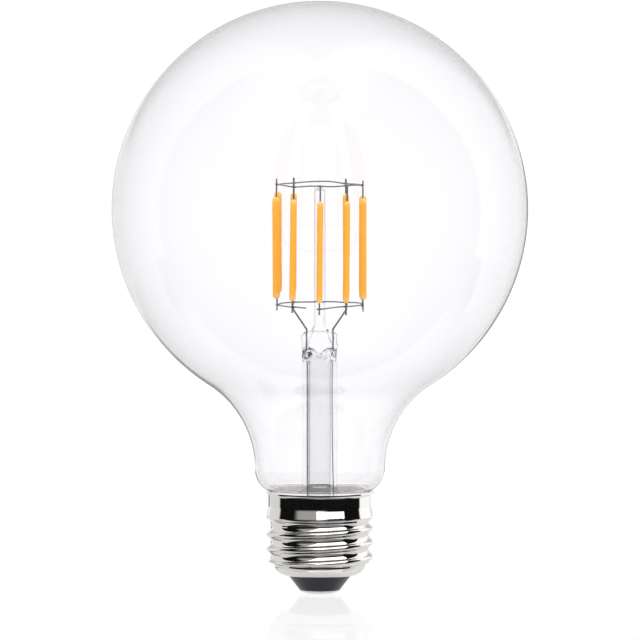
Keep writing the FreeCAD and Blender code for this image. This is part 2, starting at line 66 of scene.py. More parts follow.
# Screw cap
cap_low = node_span("screw_shell")[0]
CAP_STEPS = 288
CAP_WALL = 0.3
CUP_TOP_RADIUS = 11.304
CUP_HEIGHT = 2.35
CUP_ROUNDING = 3.6
CUP_RIM_HEIGHT = 0.45
CUP_ARC_STEPS = 24
CUP_INNER_STEPS = 12
THREAD_PITCH = 3.629
THREAD_RADIUS = 13.1
THREAD_DEPTH = 0.98
ROOT_RADIUS = THREAD_RADIUS - THREAD_DEPTH
CREST_ROUNDING = 0.75
ROOT_ROUNDING = ((THREAD_PITCH / 2) ** 2 + THREAD_DEPTH**2) / (2 * THREAD_DEPTH) - CREST_ROUNDING
CREST_REACH = THREAD_PITCH / 2 * CREST_ROUNDING / (CREST_ROUNDING + ROOT_ROUNDING)
THREAD_LENGTH = 10.5
THREAD_CREST_RISE = 2.3
THREAD_RUN_IN = 0.9
THREAD_RUN_OUT = 1.2
THREAD_STEPS = 96
ROOT_ARC_STEPS = 12
BEAD_ARC_STEPS = 14
SOFT_TRIM = 0.16
SKIRT_INSET = 0.4
SKIRT_RADIUS = THREAD_RADIUS - SKIRT_INSET
SKIRT_LENGTH = 7.6
SKIRT_STEPS = 16
SKIRT_SLOPE = math.radians(9.5)
SLOPE_STEPS = 6
LIP_FLARE = 0.62
LIP_ROUNDING = 0.64
LIP_ARC_STEPS = 10
LIP_INNER_STEPS = 8
CUP_TOP = cap_low.z + CUP_HEIGHT
CUP_RIM_TOP = CUP_TOP + CUP_RIM_HEIGHT
THREAD_TOP = CUP_TOP + THREAD_LENGTH

# Centre contact and insulator
contact_high = node_span("centre_contact")[1]
insulator_low, insulator_high = node_span("cap_insulator")
TURNED_STEPS = 128
CONTACT_FLAT_RADIUS = 1.8
CONTACT_DOME = 0.6
CONTACT_RIM = 0.3
CONTACT_FLAT_STEPS = 4
CONTACT_DOME_STEPS = 16
EYELET_RADIUS = 1.3
CAP_MOUTH_RADIUS = insulator_high.x
INSULATOR_FOOT_RADIUS = 5.2
INSULATOR_ROUNDING = 0.25
INSULATOR_BORE_RADIUS = 1.35
INSULATOR_CONE_STEPS = 12

# Glass envelope
globe_low, globe_high = node_span("glass_envelope")
GLOBE_STEPS = 224
GLASS_WALL = 0.8
GLOBE_RADIUS = 51.5
GLOBE_RISE = 64.5
GLOBE_ARC_STEPS = 84
NECK_RADIUS = 16.1
NECK_ARC_STEPS = 28
SHOULDER_ROUNDING = 6.0
SHOULDER_ARC_STEPS = 14
FOLD_ROUNDING = 1.6
FOLD_ARC_STEPS = 10
SLEEVE_STEPS = 4

# Cement
cement_high = node_span("basing_cement")[1]
CEMENT_GAP = 0.02
CEMENT_FLOOR_RADIUS = 3.75
CEMENT_FLOOR = 0.5
CEMENT_RIPPLE = 0.12
CEMENT_RIPPLE_SIZE = 1.8
CEMENT_WALL_STEPS = 10
CEMENT_TOP_STEPS = 2
CEMENT_FLOOR_STEPS = 12

# Glass mount
stem_low, stem_high = node_span("stem_flare")
post_high = node_span("support_post")[1]
exhaust_low, exhaust_high = node_span("exhaust_tube")
SLEEVE_RADIUS = stem_high.x
MOUNT_STEPS = 112
STEM_RADIUS = 4.4
STEM_WALL = 0.7
STEM_SHOULDER = 1.5
STEM_STEPS = 30
STEM_SHOULDER_STEPS = 8
FLARE_ROUNDING = 5.0
FLARE_ARC_STEPS = 12
PRESS_TAPER = 2.4
PRESS_SAG = 1.4
PRESS_SAG_HALF_WIDTH = 2.6
PRESS_ROUNDING = 1.2
PRESS_STEPS = 40
PRESS_TOP_STEPS = 3
PRESS_ARC_STEPS = 8
EAR_HALF_THICKNESS = 1.15
HUB_HALF_THICKNESS = 1.9
HUB_FOOT_HALF_WIDTH = 3.5
HUB_TOP_HALF_WIDTH = 1.5
HUB_EDGE = 0.4
EXHAUST_RADIUS = exhaust_high.x
EXHAUST_WALL = 0.12
EXHAUST_STEPS = 40
EXHAUST_TIP_STEPS = 8
BORE_STEPS = 30
BORE_FOOT_RISE = 5.1
BORE_FOOT_DOME = 0.5
BORE_FOOT_STEPS = 8
BORE_FUNNEL_RADIUS = 2.3
BORE_FUNNEL_DEPTH = 2.0
BORE_FUNNEL_RISE = 1.0
BORE_FUNNEL_STEPS = 12
BORE_DROP_ROUNDING = 3.0
BORE_DROP_STEPS = 12
POST_RADIUS = 1.4
POST_STEPS = 40
POST_TIP_STEPS = 10
POST_FOOT_RADIUS = 2.6
POST_FOOT_HEIGHT = 2.2
POST_FOOT_STEPS = 16
STEM_SEAT = stem_low.z + STEM_WALL
PRESS_FOOT = exhaust_high.z
PRESS_TOP = stem_high.z
POST_FOOT_TOP = PRESS_TOP + POST_FOOT_HEIGHT

# Size and depth of the lumps in the melted press
PRESS_RIPPLES = ((1.7, 0.36), (0.7, 0.09))

# Filament sticks
FILAMENT_COUNT = 9
FILAMENT_STEPS = 40
FILAMENT_LENGTH_STEPS = 48
FILAMENT_RADIUS = 0.74
FILAMENT_DEPTH_SHARE = 1.243
FILAMENT_TIP_RADIUS = 0.36
FILAMENT_TIP_LENGTH = 0.8
FILAMENT_TIP_STEPS = 8
FILAMENT_RIPPLE = 0.05
FILAMENT_RIPPLE_SIZE = 3.0

# Sticks that stand a little off their CAD places
FILAMENT_SHIFTS = {7: Vector((0.3, 0, 0.5)), 8: Vector((-0.15, 0, 0))}

# Rings
lower_ring_low, lower_ring_high = node_span("lower_ring_right")
WIRE_SIDES = 4
WIRE_SMOOTHNESS = 6
WIRE_ORDER = 3
RING_RADIUS = 10.88
RING_WIRE_RADIUS = 0.18
RING_POINT_ANGLE = 4.0
RING_WAVE = 0.34
RING_WAVE_SIZE = 6.0
WELD_SWELL = 0.7
WELD_ANGLE = 3.0
CAGE_PLACES = 10
EMPTY_PLACE = 5
TAB_ANGLES = [
    CIRCLE_DEGREES / CAGE_PLACES * place for place in range(CAGE_PLACES) if place != EMPTY_PLACE
]

# First and last angle of each ring, and the angle, reach and depth of its bend
TOP_RING_ENDS = (0.0, CIRCLE_DEGREES)
TOP_RING_BEND = (180.0, 34.0, 0.45)
RIGHT_RING_ENDS = (-4.2, 172.4)
RIGHT_RING_BEND = (-4.2, 32.0, -0.6)
LEFT_RING_ENDS = (187.6, 341.9)
LEFT_RING_BEND = (341.9, 16.0, -0.3)

# Lead wires
LEAD_WIRE_RADIUS = 0.25
LEAD_OFFSET = 3.25
LEAD_STEM_OFFSET = 3.05
LEAD_REACH = 10.43
LEAD_ANGLE = 38.75
LEAD_RISE = 0.6
LEAD_HOOK = 0.7
LEAD_END = 0.25
LEAD_BEND = 0.35
LEFT_LEAD_LEAN = 0.0
LEFT_LEAD_STEM_SHARE = 0.95
RIGHT_LEAD_LEAN = 0.36
RIGHT_LEAD_STEM_SHARE = 0.6

# Pieces that keep their CAD meshes
ANCHOR_COUNT = 3


# Drawing tools


class Outline:
    """Pen that draws the outline of a turned piece beside the Z axis, with straight runs and arcs."""

    def __init__(self, radius, height):
        self.mesh = bmesh.new()
        self.start = self.mesh.verts.new((radius, 0, height))
        self.tip = self.start

    def line(self, radius, height, steps=1):
        """Straight run to a point."""
        move = (Vector((radius, 0, height)) - self.tip.co) / steps
        for _ in range(steps):
            made = bmesh.ops.extrude_vert_indiv(self.mesh, verts=[self.tip])
            self.tip = made["verts"][0]
            bmesh.ops.translate(self.mesh, verts=[self.tip], vec=move)
        return self

    def arc(self, radius, height, centre, steps):
        """Arc about a centre to a point."""
        pivot = Vector((centre[0], 0, centre[1]))
        start = self.tip.co - pivot
        end = Vector((radius, 0, height)) - pivot
        angle = math.atan2(start.z * end.x - start.x * end.z, start.dot(end))
        made = bmesh.ops.spin(
            self.mesh, geom=[self.tip], cent=pivot, axis=Y_AXIS, angle=angle, steps=steps
        )
        self.tip = [part for part in made["geom_last"] if isinstance(part, bmesh.types.BMVert)][0]
        return self

    def close(self):
        """Straight run back to the start."""
        self.mesh.edges.new((self.tip, self.start))
        return self

    def turned(self, steps):
        """Closed skin made by turning the outline about the Z axis."""
        bmesh.ops.spin(
            self.mesh,
            geom=self.mesh.verts[:] + self.mesh.edges[:],
            cent=(0, 0, 0),
            axis=Z_AXIS,
            angle=FULL_TURN,
            steps=steps,
            use_merge=True,
        )
        bmesh.ops.remove_doubles(self.mesh, verts=self.mesh.verts, dist=MERGE_DISTANCE)
        bmesh.ops.recalc_face_normals(self.mesh, faces=self.mesh.faces)
        return self.mesh


def wire_mesh(points, radius, swell, closed=False):
    """Round wire along a smooth line that follows its bend points, thicker by their swell."""
    curve = bpy.data.curves.new("wire_line", "CURVE")
    curve.dimensions = "3D"
    curve.bevel_depth = radius
    curve.bevel_resolution = WIRE_SIDES
    curve.resolution_u = WIRE_SMOOTHNESS
    curve.use_fill_caps = not closed
    spline = curve.splines.new("NURBS")
    spline.points.add(len(points) - 1)
    for bend, place, thicker in zip(spline.points, points, swell):
        bend.co = (*place, 1)
        bend.radius = thicker
    spline.use_cyclic_u = closed
    spline.use_endpoint_u = not closed
    spline.order_u = WIRE_ORDER
    holder = bpy.data.objects.new("wire_line", curve)
    data = bpy.data.meshes.new_from_object(holder)
    mesh = bmesh.new()
    mesh.from_mesh(data)
    bmesh.ops.remove_doubles(mesh, verts=mesh.verts, dist=MERGE_DISTANCE)
    bmesh.ops.recalc_face_normals(mesh, faces=mesh.faces)
    bpy.data.objects.remove(holder)
    bpy.data.curves.remove(curve)
    bpy.data.meshes.remove(data)
    return mesh


def add_mesh(mesh, other):
    """Add the faces of another mesh, which is used up."""
    data = bpy.data.meshes.new("added")
    other.to_mesh(data)
    other.free()
    mesh.from_mesh(data)
    bpy.data.meshes.remove(data)


def make_piece(name, mesh, finish, stands_for):
    """Object from a mesh drawn in millimetres, with smooth faces and the sharp edges kept."""
    for edge in mesh.edges:
        edge.smooth = len(edge.link_faces) != 2 or edge.calc_face_angle() < SHARP_ANGLE
    for face in mesh.faces:
        face.smooth = True
    bmesh.ops.scale(mesh, vec=(MM, MM, MM), verts=mesh.verts)
    data = bpy.data.meshes.new(name)
    mesh.to_mesh(data)
    mesh.free()
    data.materials.append(finish)
    piece = bpy.data.objects.new(name, data)
    scene.collection.objects.link(piece)
    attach(piece, "root")
    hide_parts(*stands_for)
    return piece


def polar(radius, angle, height):
    """Point at an angle in degrees from the front towards the right."""
    turn = math.radians(angle)
    return Vector((radius * math.sin(turn), -radius * math.cos(turn), height))


def turn_between(first, second):
    """Smallest angle in degrees between two directions."""
    half = CIRCLE_DEGREES / 2
    return abs((first - second + half) % CIRCLE_DEGREES - half)


def ramp(value, low, high):
    """Straight rise from 0 at low to 1 at high."""
    return min(max((value - low) / (high - low), 0.0), 1.0)


def ease(value, low, high):
    """Smooth rise from 0 at low to 1 at high."""
    share = ramp(value, low, high)
    return share * share * (3 - 2 * share)


# Shader tools

# Sockets of the node that mixes two colours
MIX_SHARE = 0
MIX_FIRST = 6
MIX_SECOND = 7
MIX_RESULT = 2


class Field:
    """A shader socket. Arithmetic on it adds Math nodes to its tree."""

    def __init__(self, shader, socket):
        self.shader = shader
        self.socket = socket

    def __add__(self, other):
        return self.shader.maths("ADD", self, other)

    def __radd__(self, other):
        return self.shader.maths("ADD", other, self)

    def __sub__(self, other):
        return self.shader.maths("SUBTRACT", self, other)

    def __rsub__(self, other):
        return self.shader.maths("SUBTRACT", other, self)

    def __mul__(self, other):
        return self.shader.maths("MULTIPLY", self, other)

    def __rmul__(self, other):
        return self.shader.maths("MULTIPLY", other, self)

    def __pow__(self, other):
        return self.shader.maths("POWER", self, other)

    def __abs__(self):
        return self.shader.maths("ABSOLUTE", self)


class Shader:
    """Node tree of a material or of the world."""

    def __init__(self, owner):
        owner.use_nodes = True
        self.tree = owner.node_tree
        self.tree.nodes.clear()

    def add(self, kind, settings=None, sockets=None, output=0):
        """Any node: its settings first, then the values or links of its sockets."""
        node = self.tree.nodes.new(kind)
        for name, value in (settings or {}).items():
            setattr(node, name, value)
        for name, value in (sockets or {}).items():
            if isinstance(value, Field):
                self.tree.links.new(value.socket, node.inputs[name])
            else:
                node.inputs[name].default_value = value
        return Field(self, node.outputs[output]) if node.outputs else None

    def maths(self, operation, *values):
        """Math node with its values in order."""
        return self.add("ShaderNodeMath", {"operation": operation}, dict(enumerate(values)))

    def place(self):
        """Object coordinates in metres."""
        return self.add("ShaderNodeTexCoord", output="Object")

    def axes(self, vector):
        """The three parts of a vector."""
        return [self.add("ShaderNodeSeparateXYZ", sockets={0: vector}, output=axis) for axis in "XYZ"]

    def stretched(self, vector, scale):
        """Coordinates scaled along each axis."""
        sockets = {"Vector": vector, "Scale": scale}
        return self.add("ShaderNodeMapping", {"vector_type": "POINT"}, sockets)

    def grain(self, vector, size, detail=2.0):
        """Noise from 0 to 1 with patches of a size in millimetres."""
        sockets = {"Vector": vector, "Scale": 1 / (size * MM), "Detail": detail}
        return self.add("ShaderNodeTexNoise", sockets=sockets)

    def step(self, value, low, high, low_level=0.0, high_level=1.0):
        """Smooth step of a value from one level to another."""
        sockets = {
            "Value": value,
            "From Min": low,
            "From Max": high,
            "To Min": low_level,
            "To Max": high_level,
        }
        return self.add("ShaderNodeMapRange", {"interpolation_type": "SMOOTHSTEP"}, sockets)

    def blend(self, share, first, second):
        """Mix of two colours."""
        sockets = {MIX_SHARE: share, MIX_FIRST: first, MIX_SECOND: second}
        return self.add("ShaderNodeMix", {"data_type": "RGBA"}, sockets, output=MIX_RESULT)

    def layers(self, share, first, second):
        """Mix of two surfaces."""
        return self.add("ShaderNodeMixShader", sockets={0: share, 1: first, 2: second})

    def bump(self, height, depth):
        """Normal from a height of 0 to 1 that stands for a depth in millimetres."""
        sockets = {"Height": height, "Distance": depth * MM, "Strength": 1.0}
        return self.add("ShaderNodeBump", sockets=sockets)

    def surface(self, sockets):
        """Principled surface."""
        return self.add("ShaderNodeBsdfPrincipled", sockets=sockets)

    def light_path(self, kind):
        """1 for rays of a kind, else 0."""
        return self.add("ShaderNodeLightPath", output=kind)

    def mirrored_ray(self):
        """1 for what a polished surface mirrors, else 0."""
        return self.light_path("Is Reflection Ray") * self.light_path("Is Glossy Ray")

    def finish(self, surface):
        """Output of a material."""
        self.add("ShaderNodeOutputMaterial", sockets={"Surface": surface})


def weighed(first, second, share):
    """Sum of two fields, the first with its share and the second with the rest."""
    return share * first + (1 - share) * second


def colour(red, green, blue):
    """Opaque colour."""
    return (red, green, blue, 1.0)


def new_finish(name):
    """New material and the shader to draw it with."""
    material = bpy.data.materials.new(name)
    return material, Shader(material)


# Finishes

WHITE = colour(1, 1, 1)
DENT_SHARE = 0.75
ROLLING_SHARE = 0.2
SPECK_SHARE = 0.05
SPECK_LOW = 0.58
SPECK_HIGH = 0.72
ROLLING_STRETCH = (0.12, 0.12, 1.0)
VITRITE_BLACK = colour(0.006, 0.0055, 0.009)
VITRITE_BLUE = colour(0.015, 0.0145, 0.024)
VITRITE_ROUGHNESS = 0.2
VITRITE_RING_ROUGHNESS = 0.2
VITRITE_RING_STRETCH = (0.05, 0.05, 1.0)
PHOSPHOR_DEEP = colour(0.88, 0.37, 0.012)
PHOSPHOR_LIGHT = colour(0.93, 0.45, 0.026)
PHOSPHOR_TIP = colour(0.92, 0.56, 0.16)
PHOSPHOR_ROUGHNESS = 0.45
PHOSPHOR_GRIT_ROUGHNESS = 0.2
CHIP_STRETCH = (0.1, 0.1, 1.0)
MATTE_FINENESS = 5
MATTE_GRAIN_ROUGHNESS = 0.15


def glass_finish(
    name, tint, rim_shade_colour, ior, soft_rim_shade, sharp_rim_shade, ripple_size, ripple_depth, thin_foot=None
):
    """Clear glass with a drawn ripple, and painted shade that darkens it where it is seen edge on.

    Each edge of painted shade is a share and a power. A thin foot has less of both edges: it is given
    by the heights where it ends and where the full edges begin, and by the share that it keeps.
    """
    material, shader = new_finish(name)
    place = shader.place()
    ripple = shader.grain(place, ripple_size, detail=1.0)
    sockets = {
        "Roughness": 0.0,
        "IOR": ior,
        "Transmission Weight": 1.0,
        "Normal": shader.bump(ripple, ripple_depth),
    }
    clear = shader.surface({"Base Color": tint, **sockets})
    # Painted shade: near-black glass, mixed in where the surface is seen edge on, darkens the rims
    edge = shader.surface({"Base Color": rim_shade_colour, **sockets})
    facing = shader.add("ShaderNodeLayerWeight", sockets={"Blend": 0.5}, output="Facing")
    soft_share, soft_power = soft_rim_shade
    sharp_share, sharp_power = sharp_rim_shade
    share = soft_share * facing**soft_power + sharp_share * facing**sharp_power
    if thin_foot:
        foot_end, full_start, foot_share = thin_foot
        height = shader.axes(place)[2]
        share = share * shader.step(height, foot_end * MM, full_start * MM, foot_share, 1.0)
    shader.finish(shader.layers(share, clear, edge))
    return material


def nickel_finish(name, base, stain, smooth, dull, dent_depth):
    """Bright plated sheet with faint rolling lines, small dents and duller specks."""
    material, shader = new_finish(name)
    place = shader.place()
    cloud = shader.grain(place, size=4.0, detail=4.0)
    speck = shader.step(shader.grain(place, size=0.35, detail=3.0), SPECK_LOW, SPECK_HIGH)
    rolling = shader.grain(shader.stretched(place, ROLLING_STRETCH), size=0.12)
    dents = shader.grain(place, size=1.3)
    height = DENT_SHARE * dents + ROLLING_SHARE * rolling + SPECK_SHARE * speck
    shader.finish(shader.surface({
        "Base Color": shader.blend(cloud, base, stain),
        "Metallic": 1.0,
        "Roughness": smooth + dull * weighed(cloud, speck, share=0.6),
        "Normal": shader.bump(height, dent_depth),
    }))
    return material


def insulator_finish():
    """Black fused glass with a blue sheen and the fine rings of its mould."""
    material, shader = new_finish("black_vitrite")
    place = shader.place()
    cloud = shader.grain(place, size=1.2, detail=4.0)
    rings = shader.grain(shader.stretched(place, VITRITE_RING_STRETCH), size=0.25)
    shader.finish(shader.surface({
        "Base Color": shader.blend(cloud, VITRITE_BLACK, VITRITE_BLUE),
        "Roughness": VITRITE_ROUGHNESS + VITRITE_RING_ROUGHNESS * rings,
        "Specular IOR Level": 0.32,
        "Coat Weight": 0.04,
        "Coat Roughness": 0.12,
        "Normal": shader.bump(weighed(rings, cloud, share=0.7), depth=0.05),
    }))
    return material


def phosphor_finish():
    """Unlit phosphor silicone: orange, with faint bands over the chips and paler ends."""
    material, shader = new_finish("phosphor_coat")
    place = shader.place()
    pale = shader.add("ShaderNodeAttribute", {"attribute_name": "tip_share"}, output="Fac")
    cloud = shader.grain(place, size=1.1, detail=3.0)
    grit = shader.grain(place, size=0.12)
    chips = shader.grain(shader.stretched(place, CHIP_STRETCH), size=0.9, detail=0.0)
    orange = shader.blend(weighed(cloud, chips, share=0.6), PHOSPHOR_DEEP, PHOSPHOR_LIGHT)
    shader.finish(shader.surface({
        "Base Color": shader.blend(pale, orange, PHOSPHOR_TIP),
        "Roughness": PHOSPHOR_ROUGHNESS + PHOSPHOR_GRIT_ROUGHNESS * grit,
        "Specular IOR Level": 0.2,
        "Normal": shader.bump(weighed(cloud, grit, share=0.7), depth=0.05),
    }))
    return material


def matte_finish(name, first, second, grain_size, roughness, depth):
    """Dull mineral, board or plastic with two close shades and a grain."""
    material, shader = new_finish(name)
    place = shader.place()
    cloud = shader.grain(place, grain_size, detail=5.0)
    fine = shader.grain(place, grain_size / MATTE_FINENESS)
    shader.finish(shader.surface({
        "Base Color": shader.blend(cloud, first, second),
        "Roughness": roughness + MATTE_GRAIN_ROUGHNESS * fine,
        "Normal": shader.bump(weighed(cloud, fine, share=0.6), depth),
    }))
    return material


# Both glasses darken towards their rims with painted shade, near black where they are seen edge on
clear_glass = glass_finish(
    "clear_glass_finish",
    tint=colour(0.99, 0.987, 1.0),
    rim_shade_colour=colour(0.05, 0.05, 0.055),
    ior=1.45,
    soft_rim_shade=(0.34, 2.7),
    sharp_rim_shade=(0.2, 20.0),
    ripple_size=26.0,
    ripple_depth=0.003,
)
stem_glass = glass_finish(
    "stem_glass_finish",
    tint=colour(0.978, 0.984, 0.988),
    rim_shade_colour=colour(0.02, 0.02, 0.024),
    ior=1.32,
    soft_rim_shade=(0.5, 1.6),
    sharp_rim_shade=(0.3, 12.0),
    ripple_size=3.0,
    ripple_depth=0.02,
    thin_foot=(PRESS_TOP, POST_FOOT_TOP, 0.1),
)
nickel = nickel_finish(
    "nickel_finish",
    base=colour(0.80, 0.785, 0.765),
    stain=colour(0.70, 0.675, 0.65),
    smooth=0.03,
    dull=0.06,
    dent_depth=0.003,
)
contact_metal = nickel_finish(
    "contact_finish",
    base=colour(0.86, 0.86, 0.86),
    stain=colour(0.74, 0.74, 0.75),
    smooth=0.1,
    dull=0.12,
    dent_depth=0.012,
)
wire_metal = nickel_finish(
    "wire_finish",
    base=colour(0.27, 0.26, 0.26),
    stain=colour(0.13, 0.125, 0.125),
    smooth=0.14,
    dull=0.14,
    dent_depth=0.012,
)
tab_metal = nickel_finish(
    "tab_finish",
    base=colour(0.14, 0.135, 0.135),
    stain=colour(0.08, 0.078, 0.078),
    smooth=0.2,
    dull=0.14,
    dent_depth=0.012,
)
can = nickel_finish(
    "can_finish",
    base=colour(0.76, 0.77, 0.79),
    stain=colour(0.62, 0.63, 0.65),
    smooth=0.22,
    dull=0.15,
    dent_depth=0.02,
)
black_vitrite = insulator_finish()
phosphor = phosphor_finish()
cement = matte_finish(
    "cement_finish",
    first=colour(0.96, 0.87, 0.78),
    second=colour(0.98, 0.97, 0.96),
    grain_size=7.0,
    roughness=0.8,
    depth=0.1,
)
anchor_metal = matte_finish(
    "anchor_finish",
    first=colour(0.80, 0.80, 0.81),
    second=colour(0.90, 0.90, 0.91),
    grain_size=0.4,
    roughness=0.5,
    depth=0.01,
)
board = matte_finish(
    "board_finish",
    first=colour(0.03, 0.16, 0.07),
    second=colour(0.05, 0.24, 0.11),
    grain_size=1.5,
    roughness=0.4,
    depth=0.02,
)
package = matte_finish(
    "package_finish",
    first=colour(0.015, 0.015, 0.016),
    second=colour(0.035, 0.035, 0.036),
    grain_size=0.3,
    roughness=0.5,
    depth=0.02,
)
resistor = matte_finish(
    "resistor_finish",
    first=colour(0.16, 0.36, 0.46),
    second=colour(0.24, 0.46, 0.55),
    grain_size=0.5,
    roughness=0.45,
    depth=0.03,
)
hookup = matte_finish(
    "hookup_finish",
    first=colour(0.72, 0.05, 0.04),
    second=colour(0.55, 0.03, 0.03),
    grain_size=0.6,
    roughness=0.4,
    depth=0.02,
)


# Cap


def thread_wave(distance):
    """Radius of the rolled thread at a distance along the axis from the nearest crest."""
    if distance <= CREST_REACH:
        return THREAD_RADIUS - CREST_ROUNDING + math.sqrt(CREST_ROUNDING**2 - distance**2)
    to_root = THREAD_PITCH / 2 - distance
    return ROOT_RADIUS + ROOT_ROUNDING - math.sqrt(ROOT_ROUNDING**2 - to_root**2)


def soft_least(first, second):
    """Smaller of two radii, rounded where they are equal."""
    share = max(SOFT_TRIM - abs(first - second), 0.0) / SOFT_TRIM
    return min(first, second) - share * share * SOFT_TRIM / 4


def roll_thread(mesh):
    """Push the straight zone above the cup out into the right-hand helix of the thread."""
    run_in_slope = (THREAD_RADIUS + CAP_WALL - CUP_TOP_RADIUS) / THREAD_RUN_IN
    run_out_slope = (THREAD_RADIUS + CAP_WALL - ROOT_RADIUS) / THREAD_RUN_OUT
    for vert in mesh.verts:
        radius = math.hypot(vert.co.x, vert.co.y)
        if abs(radius - CUP_TOP_RADIUS) > MERGE_DISTANCE or vert.co.z < CUP_TOP + MERGE_DISTANCE:
            continue
        turn = math.atan2(vert.co.y, vert.co.x) / FULL_TURN
        phase = ((vert.co.z - CUP_TOP - THREAD_CREST_RISE) / THREAD_PITCH - turn + 0.5) % 1.0 - 0.5
        wave = thread_wave(abs(phase) * THREAD_PITCH)
        run_in = CUP_TOP_RADIUS + max(vert.co.z - CUP_RIM_TOP, 0.0) * run_in_slope
        run_out = ROOT_RADIUS + (THREAD_TOP - vert.co.z) * run_out_slope
        target = soft_least(soft_least(wave, run_in), run_out)
        vert.co.xy *= target / radius
    bmesh.ops.recalc_face_normals(mesh, faces=mesh.faces)


def screw_cap():
    """Turned sheet with a cup, the rolled thread, a bead, a sloped foot, a skirt and a flared lip."""
    bore = ROOT_RADIUS - CAP_WALL
    flank = Vector((thread_wave(CREST_REACH), THREAD_TOP + THREAD_PITCH / 2 - CREST_REACH))
    bead_centre = Vector((THREAD_RADIUS - CREST_ROUNDING, THREAD_TOP + THREAD_PITCH / 2))
    bead_top = bead_centre + Vector((math.cos(SKIRT_SLOPE), math.sin(SKIRT_SLOPE))) * CREST_ROUNDING
    skirt_low = bead_top.y + (bead_top.x - SKIRT_RADIUS) / math.tan(SKIRT_SLOPE)
    lip_top = THREAD_TOP + SKIRT_LENGTH
    lip_low = lip_top - math.sqrt(LIP_ROUNDING**2 - (LIP_ROUNDING - LIP_FLARE) ** 2)
    lip_centre = (SKIRT_RADIUS + LIP_ROUNDING, lip_low)
    mouth = Vector((CAP_MOUTH_RADIUS, cap_low.z))
    chord = Vector((CUP_TOP_RADIUS, CUP_TOP)) - mouth
    rise = math.sqrt(CUP_ROUNDING**2 - (chord.length / 2) ** 2)
    cup_centre = mouth + chord / 2 + Vector((-chord.y, chord.x)).normalized() * rise
    inner_mouth = cup_centre + (mouth - cup_centre) * (1 - CAP_WALL / CUP_ROUNDING)
    inner_share = 1 + CAP_WALL / LIP_ROUNDING
    lip_inner = SKIRT_RADIUS + LIP_ROUNDING - (LIP_ROUNDING - LIP_FLARE) * inner_share
    lip_inner_top = lip_low + (lip_top - lip_low) * inner_share

    pen = Outline(*inner_mouth)
    pen.line(*mouth)
    pen.arc(CUP_TOP_RADIUS, CUP_TOP, cup_centre, CUP_ARC_STEPS)
    pen.line(CUP_TOP_RADIUS, THREAD_TOP - THREAD_LENGTH / THREAD_STEPS, THREAD_STEPS - 1)
    pen.line(ROOT_RADIUS, THREAD_TOP)
    pen.arc(*flank, (ROOT_RADIUS + ROOT_ROUNDING, THREAD_TOP), ROOT_ARC_STEPS)
    pen.arc(*bead_top, bead_centre, BEAD_ARC_STEPS)
    pen.line(SKIRT_RADIUS, skirt_low, SLOPE_STEPS)
    pen.line(SKIRT_RADIUS, lip_low, SKIRT_STEPS)
    pen.arc(SKIRT_RADIUS + LIP_FLARE, lip_top, lip_centre, LIP_ARC_STEPS)
    pen.line(lip_inner, lip_inner_top)
    pen.arc(SKIRT_RADIUS - CAP_WALL, lip_low, lip_centre, LIP_INNER_STEPS)
    pen.line(SKIRT_RADIUS - CAP_WALL, bead_centre.y)
    pen.line(bore, flank.y)
    pen.line(bore, CUP_RIM_TOP + THREAD_RUN_IN / 2)
    pen.line(CUP_TOP_RADIUS - CAP_WALL, CUP_RIM_TOP)
    pen.line(CUP_TOP_RADIUS - CAP_WALL, CUP_TOP)
    pen.arc(*inner_mouth, cup_centre, CUP_INNER_STEPS)
    mesh = pen.turned(CAP_STEPS)
    roll_thread(mesh)
    return make_piece("screw_cap", mesh, nickel, ["screw_shell"])


def contact_plate():
    """Domed tip with a soft rim and its eyelet in the insulator."""
    rim = contact_high.x
    dome = ((rim - CONTACT_FLAT_RADIUS) ** 2 + CONTACT_DOME**2) / (2 * CONTACT_DOME)
    rim_top = CONTACT_DOME + CONTACT_RIM
    pen = Outline(0, 0)
    pen.line(CONTACT_FLAT_RADIUS, 0, CONTACT_FLAT_STEPS)
    pen.arc(rim, CONTACT_DOME, (CONTACT_FLAT_RADIUS, dome), CONTACT_DOME_STEPS)
    pen.line(rim, rim_top)
    pen.line(EYELET_RADIUS, rim_top)
    pen.line(EYELET_RADIUS, contact_high.z)
    pen.line(0, contact_high.z)
    mesh = pen.turned(TURNED_STEPS)
    return make_piece("contact_plate", mesh, contact_metal, ["centre_contact"])


def insulator_cone():
    """Black cone with rounded edges between the contact and the cap."""
    collar = CAP_MOUTH_RADIUS - CAP_WALL
    low = insulator_low.z
    foot = INSULATOR_FOOT_RADIUS
    pen = Outline(INSULATOR_BORE_RADIUS, low)
    pen.line(foot - INSULATOR_ROUNDING, low)
    pen.line(foot, low + INSULATOR_ROUNDING)
    pen.line(CAP_MOUTH_RADIUS, cap_low.z, INSULATOR_CONE_STEPS)
    pen.line(collar, cap_low.z)
    pen.line(collar, insulator_high.z)
    pen.line(INSULATOR_BORE_RADIUS, insulator_high.z)
    pen.close()
    mesh = pen.turned(TURNED_STEPS)
    return make_piece("insulator_cone", mesh, black_vitrite, ["cap_insulator"])


def cement_collar():
    """Cement between the glass and the cap, smeared on under the flare of the stem."""
    outside = cement_high.x - CEMENT_GAP
    inside = SLEEVE_RADIUS + CEMENT_GAP
    top = cement_high.z - CEMENT_RIPPLE
    floor_top = stem_low.z - CEMENT_GAP - CEMENT_RIPPLE
    pen = Outline(outside, floor_top - CEMENT_FLOOR)
    pen.line(outside, top, CEMENT_WALL_STEPS)
    pen.line(inside, top, CEMENT_TOP_STEPS)
    pen.line(inside, floor_top, CEMENT_WALL_STEPS)
    pen.line(CEMENT_FLOOR_RADIUS, floor_top, CEMENT_FLOOR_STEPS)
    pen.line(CEMENT_FLOOR_RADIUS, floor_top - CEMENT_FLOOR)
    pen.close()
    mesh = pen.turned(TURNED_STEPS)
    for vert in mesh.verts:
        vert.co.z += CEMENT_RIPPLE * noise.noise(vert.co / CEMENT_RIPPLE_SIZE)
    return make_piece("cement_collar", mesh, cement, ["basing_cement"])


# Glass


